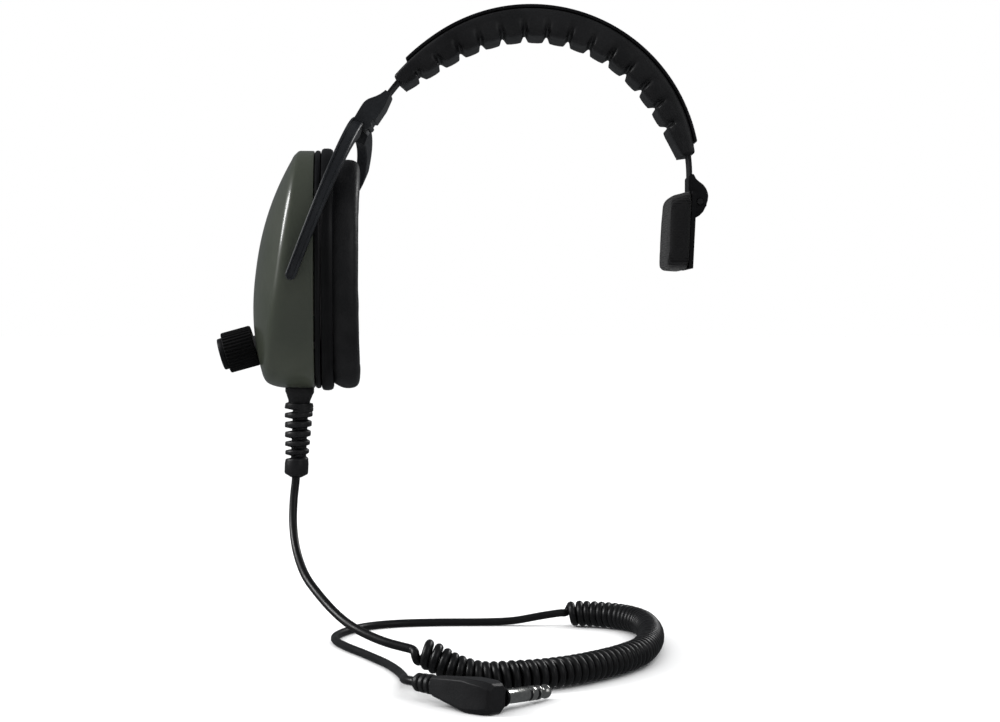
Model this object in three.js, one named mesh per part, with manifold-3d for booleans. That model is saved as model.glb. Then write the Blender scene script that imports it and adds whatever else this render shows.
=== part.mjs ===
// Single-ear radio headphones on a sprung headband, in millimetres.
// Origin: the middle of the ear cushion's face. +X runs through the wearer's head to the temple pad,
// +Y points to the back of the head and +Z up.
import * as THREE from 'three';
import { mergeVertices } from 'three/addons/utils/BufferGeometryUtils.js';
import Module from 'manifold-3d';

const wasm = await Module();
wasm.setup();

// ---- driving dimensions --------------------------------------------------------------------------

const GAP = 0.3;                     // between touching pieces
const EAR_YAW = 4.5;                 // degrees, toe-in of the ear cup on the head

const CUP_HALF_Z = 56.5;             // oval cup, half height
const CUP_HALF_Y = 45;               // and half width
const CUP_SQUARENESS = 2.4;          // exponent of the cup's oval
const SHELL_EDGE_X = -20;            // open edge of the shell
const RIDGE_X = -35.4;               // where the side wall turns into the dome, at mid height
const DOME_LEAN = 0.13;              // the dome is deeper at the bottom than at the top
const DOME_HEIGHT = 12.5;
const DOME_POWER = 2.2;
const WALL = 2.5;

const RIM_FRONT_X = -17;
const SEAT_SCALE = 1.02;             // the cushion's seat ring stands a little proud of the shell
const SEAT_BACK_X = RIM_FRONT_X + GAP;
const SEAT_LIP_X = -11;
const BAFFLE_BACK_X = -19.6;
const BAFFLE_FRONT_X = -17.2;
const CUSHION_BACK_X = -14.5;
const SPEAKER_RADIUS = 22;
const GRILLE_RADIUS = 18.5;

const KNOB_TILT = -15.5;             // degrees, the knob's axis dips with the dome
const KNOB_SEAT = [-49, 0, -36.1];   // middle of the knob's inner face
const KNOB_RADIUS = 8.9;
const KNOB_LENGTH = 15;
const KNOB_CAP_RADIUS = 7.2;
const SHAFT_RADIUS = 3;

const YOKE_YAW = 1;                  // degrees, the yoke follows the headband rather than the cup
const YOKE_SHIFT = -1.2;             // it sits a little forward in the play of its slot
const PIVOT = [-26.8, 0, -2.9];      // the yoke's pivot axis crosses here, along the yoke's own Y
const YOKE_TILT = 21.2;              // degrees from vertical
const YOKE_INNER = { halfY: 47.5, height: 71 };
const YOKE_OUTER = { halfY: 51.5, height: 80 };
const YOKE_THICK_LOW = 5;
const YOKE_THICK_HIGH = 7;
const PIN_RADIUS = 1.5;
const PIN_INNER_END = 39.5;
const PIN_OUTER_END = 49.6;
const HUB_WIDTH = 26;
const SLOT_WIDTH = 20;               // the slot has side play, so the cup can toe in

const BAND_CENTRE = [83.2, 44.8];    // X and Z of the main arc's centre
const BAND_RADIUS = 76;
const BAND_THICK = 1.4;
const BAND_WIDTH = 16;
const BAND_RIGHT_STRAIGHT = 21;
const BAND_MAIN_TURN = 123;
const BAND_EASY_LENGTH = 36;         // the flatter stretch over the ear side
const BAND_EASY_TURN = 20;
const BAND_LEFT_STRAIGHT = 22;

const PAD_WIDTH = 32;
const PAD_OUTSIDE = 1.9;             // pad surface outside the band's middle
const PAD_DEPTH = 10.8;              // and inside it, to the tips of the teeth
const PAD_END_DEPTH = 4.5;
const NOTCH_COUNT = 14;
const FIRST_NOTCH = 47.6;            // along the band, from its temple end
const NOTCH_PITCH = 12;
const NOTCH_WIDTH = 2.3;
const NOTCH_DEPTH = 2.7;
const COVER_OUTSIDE = 4;
const COVER_WIDTH = 30;

const TEMPLE_PIVOT = [163.3, 0, 32];
const TEMPLE_TILT = 2.7;             // degrees
const TEMPLE_HALF_Y = 25;

const GLAND = [-27.4, 0, -56.5];     // where the strain relief meets the shell
const RELIEF_LENGTH = 43;
const RELIEF_LEAN = 2.5;             // degrees

const CORD_RADIUS = 2;
const COIL_RADIUS = 6.75;
const FLOOR_Z = -187;                // the surface that the loose cord lies on
const CORD_LIE = FLOOR_Z + CORD_RADIUS;
const COIL_LIE = FLOOR_Z + 7;
const PLUG_START = [32.6, -98.1, FLOOR_Z + 8];
const PLUG_HEADING = -40;            // degrees about +Z
const PLUG_ROLL = -6;                // degrees about its own length: the shank's tip lies lowest
const SHANK_PLACE = 42;              // along the plug's body
const JACK_RADIUS = 3.175;

// ---- materials -----------------------------------------------------------------------------------

const FINISHES = {
  olive: { color: 0x3c463a, roughness: 0.25, metalness: 0 },
  black: { color: 0x141416, roughness: 0.5, metalness: 0 },
  rubber: { color: 0x101011, roughness: 0.7, metalness: 0 },
  vinyl: { color: 0x18181a, roughness: 0.45, metalness: 0 },
  fabric: { color: 0x0d0d0f, roughness: 0.95, metalness: 0 },
  foam: { color: 0x2b2b2d, roughness: 1, metalness: 0 },
  steel: { color: 0x6d6f72, roughness: 0.4, metalness: 1 },
  nickel: { color: 0xc9c9c6, roughness: 0.2, metalness: 1 },
  brass: { color: 0xb08d4a, roughness: 0.4, metalness: 1 },
  board: { color: 0x2f5a35, roughness: 0.6, metalness: 0 },
  paper: { color: 0x4a443c, roughness: 0.9, metalness: 0 },
};

function piece(name, geometry, finish) {
  const mesh = new THREE.Mesh(geometry, new THREE.MeshStandardMaterial(FINISHES[finish]));
  mesh.name = name;
  return mesh;
}

// ---- geometry helpers ----------------------------------------------------------------------------

const radians = THREE.MathUtils.degToRad;

function signedVolume(geometry) {
  const p = geometry.attributes.position;
  const order = geometry.index.array;
  const [a, b, c] = [new THREE.Vector3(), new THREE.Vector3(), new THREE.Vector3()];
  let sum = 0;
  for (let i = 0; i < order.length; i += 3) {
    a.fromBufferAttribute(p, order[i]);
    b.fromBufferAttribute(p, order[i + 1]);
    c.fromBufferAttribute(p, order[i + 2]);
    sum += a.dot(b.cross(c));
  }
  return sum / 6;
}

// Shared vertices merged and faces turned outwards.
function welded(geometry) {
  const bare = geometry.clone();
  bare.deleteAttribute('normal');
  bare.deleteAttribute('uv');
  const whole = mergeVertices(bare, 1e-4);
  const order = whole.index.array;
  if (signedVolume(whole) < 0) {
    for (let i = 0; i < order.length; i += 3) {
      [order[i + 1], order[i + 2]] = [order[i + 2], order[i + 1]];
    }
  }
  return whole;
}

function solid(geometry) {
  const whole = welded(geometry);
  const vertProperties = new Float32Array(whole.attributes.position.array);
  const triVerts = new Uint32Array(whole.index.array);
  return new wasm.Manifold(new wasm.Mesh({ numProp: 3, vertProperties, triVerts }));
}

function surface(body) {
  const mesh = body.getMesh();
  const geometry = new THREE.BufferGeometry();
  geometry.setAttribute('position', new THREE.BufferAttribute(new Float32Array(mesh.vertProperties), 3));
  geometry.setIndex(new THREE.BufferAttribute(new Uint32Array(mesh.triVerts), 1));
  geometry.computeVertexNormals();
  return geometry;
}

function carve(base, ...tools) {
  return surface(tools.reduce((body, tool) => body.subtract(solid(tool)), solid(base)));
}

// Cylinder along X, Y or Z between two stations.
function rod(axis, radius, from, to, sides = 16) {
  const geometry = new THREE.CylinderGeometry(radius, radius, to - from, sides);
  geometry.translate(0, (from + to) / 2, 0);
  if (axis === 'x') geometry.rotateZ(-Math.PI / 2);
  if (axis === 'z') geometry.rotateX(Math.PI / 2);
  return geometry;
}

function block(low, high) {
  const size = high.map((value, i) => value - low[i]);
  const middle = high.map((value, i) => (value + low[i]) / 2);
  return new THREE.BoxGeometry(...size).translate(...middle);
}

// Turned piece: the profile is a list of [radius, station] and the stations run along X, Y or Z.
function turned(axis, profile, sides = 24) {
  const geometry = new THREE.LatheGeometry(profile.map(([r, s]) => new THREE.Vector2(r, s)), sides);
  if (axis === 'x') geometry.rotateZ(-Math.PI / 2);
  if (axis === 'z') geometry.rotateX(Math.PI / 2);
  return welded(geometry);
}

function ring(axis, inner, outer, from, to, sides = 24) {
  return turned(axis, [[inner, from], [outer, from], [outer, to], [inner, to], [inner, from]], sides);
}

// Outline in X and Z, extruded across Y about the middle plane.
function acrossY(outline, width) {
  const shape = new THREE.Shape(outline.map(([x, z]) => new THREE.Vector2(x, z)));
  const geometry = new THREE.ExtrudeGeometry(shape, { depth: width, bevelEnabled: false });
  geometry.translate(0, 0, -width / 2);
  return geometry.rotateX(Math.PI / 2);
}

function ovalRadius(angle, halfY, halfZ) {
  const y = Math.abs(Math.sin(angle)) / halfY;
  const z = Math.abs(Math.cos(angle)) / halfZ;
  return (y ** CUP_SQUARENESS + z ** CUP_SQUARENESS) ** (-1 / CUP_SQUARENESS);
}

// A lathe drawn out to the cup's oval: the profile is a list of [fraction of the oval, X].
function ovalTurned(profile, sides = 40, lean = 0) {
  const geometry = new THREE.LatheGeometry(profile.map(([r, x]) => new THREE.Vector2(r, x)), sides);
  const p = geometry.attributes.position;
  for (let i = 0; i < p.count; i += 1) {
    const angle = Math.atan2(p.getX(i), p.getZ(i));
    const reach = Math.hypot(p.getX(i), p.getZ(i)) * ovalRadius(angle, CUP_HALF_Y, CUP_HALF_Z);
    const x = p.getY(i);
    const z = reach * Math.cos(angle);
    const share = THREE.MathUtils.clamp((SHELL_EDGE_X - x) / (SHELL_EDGE_X - RIDGE_X), 0, 1);
    p.setXYZ(i, x + lean * z * share, reach * Math.sin(angle), z);
  }
  return welded(geometry);
}

function ovalRing(inner, outer, backX, frontX) {
  return ovalTurned([[inner, backX], [inner, frontX], [outer, frontX], [outer, backX], [inner, backX]]);
}

function tube(points, radius, sides, steps) {
  const path = new THREE.CatmullRomCurve3(points.map((p) => new THREE.Vector3(...p)), false, 'centripetal');
  const circle = new THREE.EllipseCurve(0, 0, radius, radius, 0, 2 * Math.PI).getPoints(sides);
  const section = new THREE.Shape(circle.slice(0, sides));
  return new THREE.ExtrudeGeometry(section, { steps, extrudePath: path, bevelEnabled: false });
}

// ---- ear cup -------------------------------------------------------------------------------------

function domeX(fraction, inset = 0) {
  return RIDGE_X + inset - DOME_HEIGHT * (1 - fraction ** DOME_POWER);
}

const DOME_STATIONS = [0, 0.2, 0.36, 0.5, 0.62, 0.73, 0.82, 0.89, 0.94];

// Moves a piece made round the yoke's pivot axis into the frame of the toed-in ear cup.
function onPivot(geometry) {
  geometry.translate(...PIVOT).rotateZ(radians(YOKE_YAW)).translate(0, YOKE_SHIFT, 0);
  return geometry.rotateZ(-radians(EAR_YAW));
}

function cupShell() {
  const dome = DOME_STATIONS.map((fraction) => [fraction, domeX(fraction)]);
  const wall = [[0.975, RIDGE_X + 0.4], [0.993, RIDGE_X + 2], [1, RIDGE_X + 4.5], [1, SHELL_EDGE_X]];
  const outside = solid(ovalTurned([...dome, ...wall, [0, SHELL_EDGE_X]], 40, DOME_LEAN));
  const scale = 1 - WALL / CUP_HALF_Z;
  const hollow = DOME_STATIONS.map((fraction) => [fraction * scale, domeX(fraction, WALL)]);
  const mouth = [[scale, RIDGE_X + 4.5], [scale, SHELL_EDGE_X + 1], [0, SHELL_EDGE_X + 1]];
  const inside = solid(ovalTurned([...hollow, ...mouth], 40, DOME_LEAN));
  let body = outside.subtract(inside);
  for (const [y, z] of SCREW_PLACES) {
    body = body.add(solid(rod('x', 3.5, -50, SHELL_EDGE_X, 12).translate(0, y, z)).intersect(outside));
  }
  for (const side of [-1, 1]) {
    const boardPost = rod('x', 2, -50, BOARD_X - 0.3, 8).translate(0, side * 11, 26);
    body = body.add(solid(boardPost).intersect(outside));
    const pivotBoss = onPivot(rod('y', 4.5, 37, CUP_HALF_Y).scale(1, side, 1));
    body = body.add(solid(pivotBoss).intersect(outside));
  }
  for (const [y, z] of SCREW_PLACES) {
    body = body.subtract(solid(rod('x', 1.5, SHELL_EDGE_X - 8, SHELL_EDGE_X + 1, 10).translate(0, y, z)));
  }
  for (const side of [-1, 1]) {
    const socket = rod('y', PIN_RADIUS + GAP, PIN_INNER_END - GAP, 60).scale(1, side, 1);
    body = body.subtract(solid(onPivot(socket)));
  }
  const shaftHole = rod('x', 4.9, -4, 10).rotateY(radians(KNOB_TILT)).translate(...KNOB_SEAT);
  const glandHole = rod('z', 4, -10, 10).translate(...GLAND);
  body = body.subtract(solid(shaftHole)).subtract(solid(glandHole));
  return piece('cup_shell', surface(body), 'olive');
}

const SCREW_PLACES = [[27, 36], [-27, 36], [-27, -36], [27, -36]];
const BOARD_X = -30.5;

function baffleParts() {
  const plate = ovalTurned([[0, BAFFLE_BACK_X], [0, BAFFLE_FRONT_X], [0.88, BAFFLE_FRONT_X],
    [0.88, BAFFLE_BACK_X], [0, BAFFLE_BACK_X]]);
  const mouth = rod('x', GRILLE_RADIUS + GAP, -30, 0, 32);
  const seats = SCREW_PLACES.flatMap(([y, z]) => [
    rod('x', 1.5, -30, 0, 10).translate(0, y, z),
    rod('x', 3, BAFFLE_FRONT_X - 1.3, 0, 12).translate(0, y, z),
  ]);
  const screws = SCREW_PLACES.map(([y, z], i) => {
    const profile = [[0, BAFFLE_BACK_X - 7], [1.2, BAFFLE_BACK_X - 6.4], [1.2, BAFFLE_FRONT_X - 1],
      [2.7, BAFFLE_FRONT_X - 1], [2.7, BAFFLE_FRONT_X], [0, BAFFLE_FRONT_X]];
    return piece(`baffle_screw_${i + 1}`, turned('x', profile, 12).translate(0, y, z), 'steel');
  });
  return [piece('baffle_plate', carve(plate, mouth, ...seats), 'black'), ...screws];
}

function speakerParts() {
  const frame = [[10, -29.4], [20, -21.4], [SPEAKER_RADIUS, -21.4], [SPEAKER_RADIUS, -19.9],
    [19, -19.9], [9.5, -28], [7, -28], [7, -29.4], [10, -29.4]];
  const magnet = [[0, -35], [10.5, -35], [11, -34.5], [11, -29.8], [0, -29.8]];
  const cone = [[0, -24.6], [4.5, -25.6], [17, -20.6], [17, -19.8], [4.6, -24.7], [0, -22.6]];
  const grille = [rod('x', 1.6, -30, 0, 6)];
  for (const [count, radius] of [[6, 6], [12, 12]]) {
    for (let i = 0; i < count; i += 1) {
      const angle = (2 * Math.PI * i) / count;
      const hole = rod('x', 1.6, -30, 0, 6);
      grille.push(hole.translate(0, radius * Math.cos(angle), radius * Math.sin(angle)));
    }
  }
  return [
    piece('speaker_frame', turned('x', frame), 'steel'),
    piece('speaker_magnet', turned('x', magnet), 'steel'),
    piece('speaker_cone', turned('x', cone), 'paper'),
    piece('speaker_grille', carve(rod('x', GRILLE_RADIUS, -19, -17.4, 32), ...grille), 'black'),
    piece('speaker_foam', rod('x', 21, -17, -15, 24), 'foam'),
  ];
}

// Ring with a lip that the cushion is tucked into.
function cushionSeat() {
  return ovalTurned([[0.63, SEAT_BACK_X], [0.63, CUSHION_BACK_X - GAP], [0.96, CUSHION_BACK_X - GAP],
    [0.96, SEAT_LIP_X], [1.005, SEAT_LIP_X], [SEAT_SCALE, SEAT_LIP_X - 1.2], [SEAT_SCALE, SEAT_BACK_X],
    [0.63, SEAT_BACK_X]]);
}

function earCushion() {
  const back = CUSHION_BACK_X;
  const profile = [[0.6, back], [0.945, back], [0.95, SEAT_LIP_X], [0.975, -8.5], [0.97, -5], [0.94, -2],
    [0.88, -0.4], [0.82, 0], [0.72, 0], [0.63, -0.9], [0.575, -3.5], [0.56, -8], [0.57, back + 2],
    [0.6, back]];
  return piece('ear_cushion', ovalTurned(profile), 'vinyl');
}

function potentiometerParts() {
  const body = [[0, 13], [7.6, 13], [8, 12.6], [8, 5.8], [4.5, 5.8], [4.5, -1.8], [3.3, -1.8], [3.3, 9],
    [0, 9]];
  const nut = carve(rod('x', 6.5, -1.6, 0.2, 6), rod('x', 4.8, -2, 2, 24));
  return [
    piece('potentiometer_body', turned('x', body), 'steel'),
    piece('potentiometer_nut', nut, 'brass'),
  ];
}

function knobParts() {
  const outer = KNOB_RADIUS;
  const body = [[0, -KNOB_LENGTH], [outer - 0.5, -KNOB_LENGTH], [outer, -KNOB_LENGTH + 0.5], [outer, -0.4],
    [outer - 0.4, 0], [7.4, 0], [7.4, -2.6], [3.3, -2.6], [3.3, -12.4], [0, -12.4]];
  const cap = [[0, -17.6], [KNOB_CAP_RADIUS - 0.6, -17.6], [KNOB_CAP_RADIUS, -17], [KNOB_CAP_RADIUS, -15.3],
    [0, -15.3]];
  return [
    piece('volume_knob', turned('x', body, 32), 'black'),
    piece('knob_cap', turned('x', cap, 32), 'black'),
    piece('volume_shaft', rod('x', SHAFT_RADIUS, -12, 8.6), 'steel'),
  ];
}

function strainRelief() {
  const body = [[0, 6], [5.5, 6], [5.5, 3.8], [3.6, 3.8], [3.6, -0.6], [6.7, -0.6], [6.7, -3.4], [4.9, -7],
    [6.6, -9], [6.2, -30], [5.5, -34.5], [5.6, -41.5], [4.6, -RELIEF_LENGTH], [0, -RELIEF_LENGTH]];
  const relief = piece('strain_relief', turned('z', body, 16), 'rubber');
  relief.position.set(...GLAND);
  relief.rotation.y = radians(RELIEF_LEAN);
  return relief;
}

function earCup() {
  const controls = new THREE.Group();
  controls.position.set(...KNOB_SEAT);
  controls.rotation.y = radians(KNOB_TILT);
  controls.add(...potentiometerParts(), ...knobParts());
  const board = carve(block([BOARD_X, -15, 15], [BOARD_X + 1.6, 15, 37]),
    ...[-11, 11].map((y) => rod('x', 1.1, -40, 0, 8).translate(0, y, 26)));
  const pins = [['front', -1], ['back', 1]].map(([end, side]) => {
    const pin = onPivot(rod('y', PIN_RADIUS, PIN_INNER_END, PIN_OUTER_END).scale(1, side, 1));
    return piece(`pivot_pin_${end}`, welded(pin), 'steel');
  });
  return [
    cupShell(),
    piece('rim_ring', ovalRing(0.9, 1, SHELL_EDGE_X + GAP, RIM_FRONT_X), 'black'),
    piece('cushion_seat', cushionSeat(), 'black'),
    ...baffleParts(), ...speakerParts(), earCushion(), controls, strainRelief(), ...pins,
    piece('terminal_board', board, 'board'),
  ];
}

// ---- headband path -------------------------------------------------------------------------------

// The band's middle line from the temple end, up and over to the ear, as stretches of even turning.
const BAND_STRETCHES = [
  { length: BAND_RIGHT_STRAIGHT, turn: 0 },
  { length: BAND_RADIUS * radians(BAND_MAIN_TURN), turn: radians(BAND_MAIN_TURN) },
  { length: BAND_EASY_LENGTH, turn: radians(BAND_EASY_TURN) },
  { length: BAND_LEFT_STRAIGHT, turn: 0 },
];
const BAND_LENGTH = BAND_STRETCHES.reduce((sum, stretch) => sum + stretch.length, 0);
const EAR_END_DIRECTION = Math.PI / 2 + radians(BAND_MAIN_TURN + BAND_EASY_TURN);

// Point at an arc length along the band, moved outwards by an offset.
function bandPoint(along, offset = 0) {
  let x = BAND_CENTRE[0] + BAND_RADIUS;
  let z = BAND_CENTRE[1] - BAND_RIGHT_STRAIGHT;
  let heading = Math.PI / 2;
  let left = along;
  for (const { length, turn } of BAND_STRETCHES) {
    const share = Math.min(left, length);
    const bend = (turn * share) / length;
    const chord = bend ? (2 * Math.sin(bend / 2) * share) / bend : share;
    x += chord * Math.cos(heading + bend / 2);
    z += chord * Math.sin(heading + bend / 2);
    heading += bend;
    left -= share;
  }
  return [x + offset * Math.sin(heading), z - offset * Math.cos(heading)];
}

// Stations for a stretch of band: close together only where it bends.
function bandStations(from, to, step) {
  const count = Math.ceil((to - from) / step);
  return Array.from({ length: count + 1 }, (_, i) => from + ((to - from) * i) / count);
}

function strip(from, to, inner, outer, step) {
  const stations = bandStations(from, to, step);
  const top = stations.map((s) => bandPoint(s, outer));
  const bottom = stations.map((s) => bandPoint(s, inner)).reverse();
  return [...top, ...bottom];
}

const PAD_FROM = BAND_RIGHT_STRAIGHT + 9.5;
const PAD_TO = BAND_LENGTH - BAND_LEFT_STRAIGHT - 7;
const COVER_FROM = PAD_FROM + 5;
const COVER_TO = PAD_TO - 9.5;

function padDepth(along) {
  const middle = (PAD_FROM + PAD_TO) / 2;
  const out = Math.abs(along - middle) / ((PAD_TO - PAD_FROM) / 2);
  return PAD_DEPTH - (PAD_DEPTH - PAD_END_DEPTH) * out ** 5;
}

// Tooth tips with square notches between them, from the ear end to the temple end.
function padUnderside() {
  const points = [bandPoint(PAD_TO, -PAD_END_DEPTH)];
  for (let i = NOTCH_COUNT - 1; i >= 0; i -= 1) {
    const middle = FIRST_NOTCH + NOTCH_PITCH * i;
    for (const [offset, cut] of [[0.5, 0], [0.5, 1], [-0.5, 1], [-0.5, 0]]) {
      const along = middle + offset * NOTCH_WIDTH;
      points.push(bandPoint(along, -padDepth(along) + cut * NOTCH_DEPTH));
    }
  }
  points.push(bandPoint(PAD_FROM, -PAD_END_DEPTH));
  return points;
}

function headbandParts() {
  const band = acrossY(strip(0, BAND_LENGTH, -BAND_THICK / 2, BAND_THICK / 2, 6), BAND_WIDTH);
  const padTop = bandStations(PAD_FROM, PAD_TO, 7).map((s) => bandPoint(s, PAD_OUTSIDE));
  const pad = acrossY([...padTop, ...padUnderside()], PAD_WIDTH);
  const half = BAND_THICK / 2 + GAP;
  const sleeve = acrossY(strip(PAD_FROM - 5, PAD_TO + 5, -half, half, 6), BAND_WIDTH + 2 * GAP);
  const coverInside = PAD_OUTSIDE + GAP;
  const cover = acrossY(strip(COVER_FROM, COVER_TO, coverInside, COVER_OUTSIDE, 7), COVER_WIDTH);
  const stopInside = -BAND_THICK / 2 - GAP;
  const stop = acrossY(strip(BAND_LENGTH - 1.8, BAND_LENGTH, stopInside - 2.2, stopInside, 2), 12);
  return [
    piece('band_spring', welded(band), 'steel'),
    piece('headband_pad', carve(pad, sleeve), 'rubber'),
    piece('headband_cover', welded(cover), 'black'),
    piece('band_stop', welded(stop), 'steel'),
  ];
}

// ---- yoke ----------------------------------------------------------------------------------------

// Half hoop in Y and height, open at the bottom.
function hoopOutline({ halfY, height }) {
  const points = [];
  for (let i = 0; i <= 28; i += 1) {
    const angle = -Math.PI / 2 + (Math.PI * i) / 28;
    const reach = ovalRadius(angle, halfY, height);
    points.push(new THREE.Vector2(reach * Math.sin(angle), reach * Math.cos(angle)));
  }
  return points;
}

function yokeHoop() {
  const outline = [...hoopOutline(YOKE_OUTER), ...hoopOutline(YOKE_INNER).reverse()];
  const hoop = new THREE.ExtrudeGeometry(new THREE.Shape(outline), { depth: 1, bevelEnabled: false });
  const p = hoop.attributes.position;
  for (let i = 0; i < p.count; i += 1) {
    const [y, up, share] = [p.getX(i), p.getY(i), p.getZ(i) - 0.5];
    const thick = THREE.MathUtils.mapLinear(up, 0, YOKE_OUTER.height, YOKE_THICK_LOW, YOKE_THICK_HIGH);
    p.setXYZ(i, share * thick, y, up);
  }
  let body = solid(hoop);
  for (const side of [-1, 1]) {
    const eye = rod('y', YOKE_THICK_LOW / 2 + 0.6, YOKE_INNER.halfY, YOKE_OUTER.halfY, 20);
    body = body.add(solid(eye.scale(1, side, 1)));
  }
  for (const side of [-1, 1]) {
    body = body.subtract(solid(rod('y', PIN_RADIUS + GAP, 40, 50).scale(1, side, 1)));
  }
  const placed = surface(body).rotateY(radians(YOKE_TILT)).translate(...PIVOT);
  return solid(placed);
}

// The hub that the band slides through, drawn along the band's straight end.
function yokeFork() {
  const top = BAND_LENGTH - BAND_LEFT_STRAIGHT;
  const hubSide = [[1, 1.8], [5.4, 3.4], [8.8, 5.4], [11.8, 6.3], [21, 5.4], [22.5, 1.8], [20, -3.4],
    [7, -3.4], [1, -1.9]];
  const hub = acrossY(hubSide.map(([down, out]) => bandPoint(top + down, out)), HUB_WIDTH);
  const slotHalf = BAND_THICK / 2 + 0.9;
  const line = (down, out) => {
    const [x, z] = bandPoint(top, out);
    return [x + down * Math.cos(EAR_END_DIRECTION), z + down * Math.sin(EAR_END_DIRECTION)];
  };
  const slotSide = [line(-5, slotHalf), line(40, slotHalf), line(40, -slotHalf), line(-5, -slotHalf)];
  const slot = acrossY(slotSide, SLOT_WIDTH).translate(0, -YOKE_SHIFT, 0);
  const pocketSide = [line(19.6, 1), line(40, 1), line(40, -9), line(19.6, -9)];
  const pocket = acrossY(pocketSide, SLOT_WIDTH).translate(0, -YOKE_SHIFT, 0);
  const body = yokeHoop().add(solid(hub)).subtract(solid(slot)).subtract(solid(pocket));
  return piece('yoke_fork', surface(body), 'black');
}

// ---- temple side ---------------------------------------------------------------------------------

const TEAR_DROP = [[-5.4, 11], [-1.8, 11.2], [1, 9], [3, 5], [3.6, 1], [3, -3], [1.2, -6.5], [-1.5, -8],
  [-5.4, -8]];

function templeSlider() {
  const body = acrossY(TEAR_DROP, 18);
  const bandX = BAND_CENTRE[0] + BAND_RADIUS - TEMPLE_PIVOT[0];
  const half = BAND_THICK / 2 + GAP;
  const slot = block([bandX - half, -BAND_WIDTH / 2 - GAP, -20], [bandX + half, BAND_WIDTH / 2 + GAP, 20]);
  const slider = piece('temple_slider', carve(body, slot, rod('y', 1.5 + GAP, -20, 20)), 'black');
  const pin = piece('temple_pin', welded(rod('y', 1.5, -12.6, 12.6)), 'steel');
  slider.position.set(...TEMPLE_PIVOT);
  pin.position.set(...TEMPLE_PIVOT);
  return [slider, pin];
}

// Plate with two lugs round the pin, and the foam in front of it, both open behind the slider.
function templePad() {
  const half = TEMPLE_HALF_Y;
  let plate = solid(block([-5, -half + 1, -32], [-3, half - 1, 4]));
  for (const side of [-1, 1]) {
    const lug = acrossY([[-4, 4], [-1, 4.5], [1.5, 3.6], [3.2, 1], [3, -2], [1, -4], [-4, -9]], 2.6);
    plate = plate.add(solid(lug.translate(0, side * 10.7, 0)));
  }
  plate = plate.subtract(solid(block([-9, -9.4, -24], [9, 9.4, 20])));
  plate = plate.subtract(solid(rod('y', 1.5 + GAP, -20, 20)));
  const side = [[-14.8, 1], [-5.4, 5], [-5.3, -33], [-14.8, -33]];
  const recess = block([-8.6, -9.7, -24.3], [0, 9.7, 20]);
  const pad = new THREE.Group();
  pad.position.set(...TEMPLE_PIVOT);
  pad.rotation.y = radians(TEMPLE_TILT);
  pad.add(piece('temple_plate', surface(plate), 'black'));
  pad.add(piece('temple_foam', carve(acrossY(side, 2 * half), recess), 'fabric'));
  return pad;
}

// ---- cord and plug -------------------------------------------------------------------------------

const LEAD = [[-29.3, -2.3, -99.9], [-30.2, -3.4, -109.5], [-30.2, -7, -120.5], [-28.6, -13, -129.8],
  [-25.7, -21, -137.2], [-21.4, -30.5, -143.7], [-15.1, -40, -149.8], [-7.7, -49, -155.9],
  [-0.5, -57, -160.4], [6.4, -63, -163.4], [14, -68, -165.9], [21.3, -72, -167.6], [28, -75, -168.6]];
const COIL = [[29, -75.4, -168.9], [38, -78, -171.5], [49, -80, -177], [60, -80.5, COIL_LIE],
  [75, -79, COIL_LIE], [88, -74.5, COIL_LIE], [101, -66, COIL_LIE], [113, -54, COIL_LIE],
  [124, -40, COIL_LIE], [134, -22, COIL_LIE], [140, 0, COIL_LIE], [143, 22, COIL_LIE],
  [143.5, 44, COIL_LIE], [141, 64, COIL_LIE], [133, 80, COIL_LIE], [119, 89.5, COIL_LIE],
  [101, 93, COIL_LIE]];
const TAIL = [[100.2, 93.1, COIL_LIE], [90, 94, -181.8], [76, 94.3, -184.3], [60, 94, CORD_LIE],
  [36, 93, CORD_LIE], [14, 89, CORD_LIE], [0, 81, CORD_LIE], [-10, 67, CORD_LIE], [-15, 50, CORD_LIE],
  [-13.5, 36, CORD_LIE], [-7, 20, CORD_LIE], [2, 3, CORD_LIE], [9.5, -12, CORD_LIE], [16, -26, CORD_LIE],
  [21.5, -42, CORD_LIE], [25, -58, -184.6], [26.2, -71, -183], [26.6, -82, -180.9], [27.6, -91, -179.5],
  [29.6, -95.4, -179.1], [32.2, -97.8, -179]];

function cordParts() {
  return [
    piece('cord_lead', tube(LEAD, CORD_RADIUS, 8, 20), 'rubber'),
    piece('cord_coil', tube(COIL, COIL_RADIUS, 12, 18), 'rubber'),
    piece('cord_tail', tube(TAIL, CORD_RADIUS, 8, 34), 'rubber'),
  ];
}

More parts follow.
